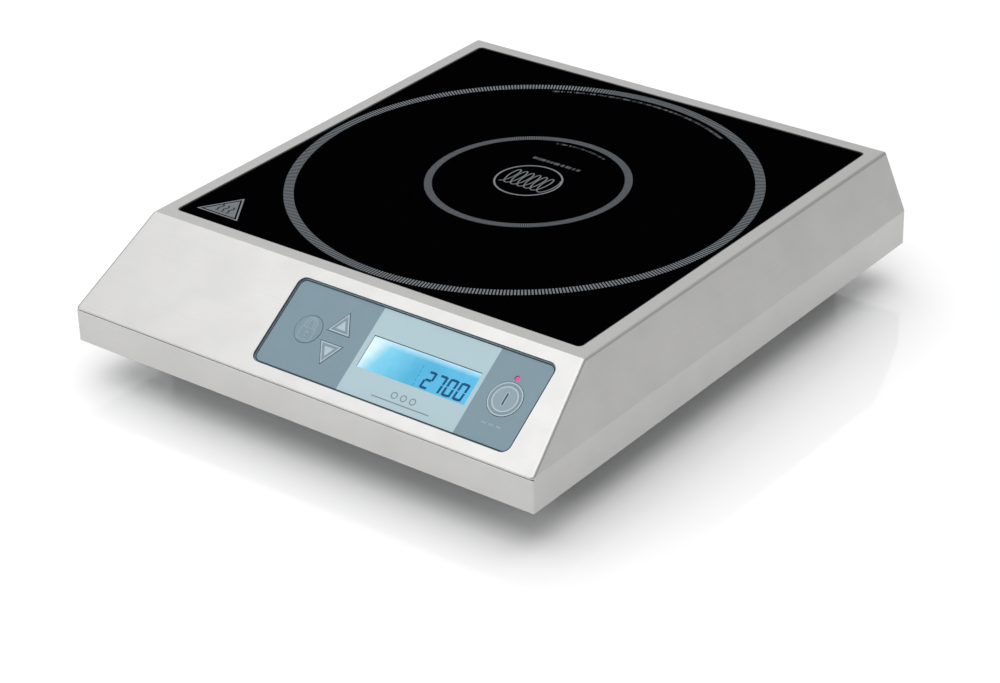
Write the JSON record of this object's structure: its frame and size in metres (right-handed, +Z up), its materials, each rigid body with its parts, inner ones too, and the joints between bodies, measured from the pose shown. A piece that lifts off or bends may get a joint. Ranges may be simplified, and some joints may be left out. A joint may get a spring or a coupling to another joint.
{
  "type": "countertop induction hot plate",
  "caption": "Countertop induction hot plate: square black glass plate flush in a folded steel housing with a sloping membrane control panel and backlit display.",
  "frame": {"origin": "on the surface the feet stand on, below the middle of the overall length and width", "axes": "+X to the right of a person at the controls, +Y away from that person, +Z up"},
  "size_m": [0.341, 0.41, 0.09],
  "materials": {
    "brushed_steel": "fine horizontal brushing",
    "glass_ceramic": "polished black glass-ceramic",
    "silicone_seal": "matt silicone",
    "folded_zinc_steel": "plain galvanised sheet",
    "foot_rubber": "matt",
    "zinc_screws": "zinc plated",
    "black_nylon": "moulded",
    "overlay_film": "silver printed membrane",
    "key_pads": "silver printed membrane",
    "clear_window": "clear film",
    "led_red": "lit",
    "lcd_glass": "display glass",
    "backlight": "lit diffuser",
    "carrier_plastic": "moulded",
    "board_green": "solder resist",
    "chip_black": "moulded",
    "copper_litz": "enamelled copper",
    "ferrite": "sintered",
    "mica": "pressed mica",
    "aluminium": "mill finish",
    "brass_posts": "turned",
    "spring_steel": "drawn wire",
    "sensor_ceramic": "plain",
    "film_case": "moulded",
    "block_white": "moulded",
    "rotor_plastic": "moulded",
    "red_lead": "silicone sleeve",
    "black_lead": "insulated",
    "earth_green": "insulated"
  },
  "bodies": {
    "hob": {"base_plate": "folded_zinc_steel", "base_screws": "zinc_screws", "board_screws": "zinc_screws", "board_standoffs": "brass_posts", "board_terminals": "black_nylon", "buzzer": "black_nylon", "choke_core": "ferrite", "choke_winding": "copper_litz", "coil_carrier": "carrier_plastic", "coil_leads": "red_lead", "coil_posts": "brass_posts", "coil_shield": "aluminium", "coil_springs": "spring_steel", "control_board": "board_green", "control_chips": "chip_black", "earth_lead": "earth_green", "fan_bearing": "brass_posts", "fan_frame": "black_nylon", "fan_lead": "black_lead", "fan_screws": "zinc_screws", "fan_stator": "aluminium", "ferrite_bars": "ferrite", "film_capacitors": "film_case", "foot_screws": "zinc_screws", "front_lip": "brushed_steel", "gland_body": "black_nylon", "gland_locknut": "black_nylon", "gland_nut": "black_nylon", "glass_ledge": "folded_zinc_steel", "glass_plate": "glass_ceramic", "glass_seal": "silicone_seal", "heat_sink": "aluminium", "induction_coil": "copper_litz", "key_switches": "chip_black", "lcd_backlight": "backlight", "lcd_cell": "lcd_glass", "lcd_holder": "black_nylon", "lcd_window": "clear_window", "mains_fuse": "sensor_ceramic", "mains_leads": "black_lead", "mica_sheet": "mica", "panel_carrier": "carrier_plastic", "panel_gasket": "silicone_seal", "panel_nuts": "zinc_screws", "panel_overlay": "overlay_film", "panel_screws": "zinc_screws", "power_board": "board_green", "power_led": "led_red", "power_transistors": "chip_black", "rubber_feet": "foot_rubber", "sensor_lead": "red_lead", "temperature_sensor": "sensor_ceramic", "terminal_block": "block_white", "terminal_screws": "zinc_screws", "top_housing": "brushed_steel"},
    "key_lock_body": {"key_lock": "key_pads"},
    "key_up_body": {"key_up": "key_pads"},
    "key_down_body": {"key_down": "key_pads"},
    "key_power_body": {"key_power": "key_pads"},
    "fan": {"fan_rotor": "rotor_plastic"}
  },
  "joints": [
    {"name": "fan_spin", "type": "hinge", "parent": "hob", "child": "fan", "pos_m": [0.084, 0.079, 0.04], "axis": [0, 0, 1], "continuous": true},
    {"name": "key_lock_press", "type": "slide", "parent": "hob", "child": "key_lock_body", "axis": [0, 0.5594, -0.8289], "range_m": [0, 0.0005], "stiffness_N_per_m": 900, "springref_m": -0.0003},
    {"name": "key_up_press", "type": "slide", "parent": "hob", "child": "key_up_body", "axis": [0, 0.5594, -0.8289], "range_m": [0, 0.0005], "stiffness_N_per_m": 900, "springref_m": -0.0003},
    {"name": "key_down_press", "type": "slide", "parent": "hob", "child": "key_down_body", "axis": [0, 0.5594, -0.8289], "range_m": [0, 0.0005], "stiffness_N_per_m": 900, "springref_m": -0.0003},
    {"name": "key_power_press", "type": "slide", "parent": "hob", "child": "key_power_body", "axis": [0, 0.5594, -0.8289], "range_m": [0, 0.0005], "stiffness_N_per_m": 900, "springref_m": -0.0003}
  ]
}
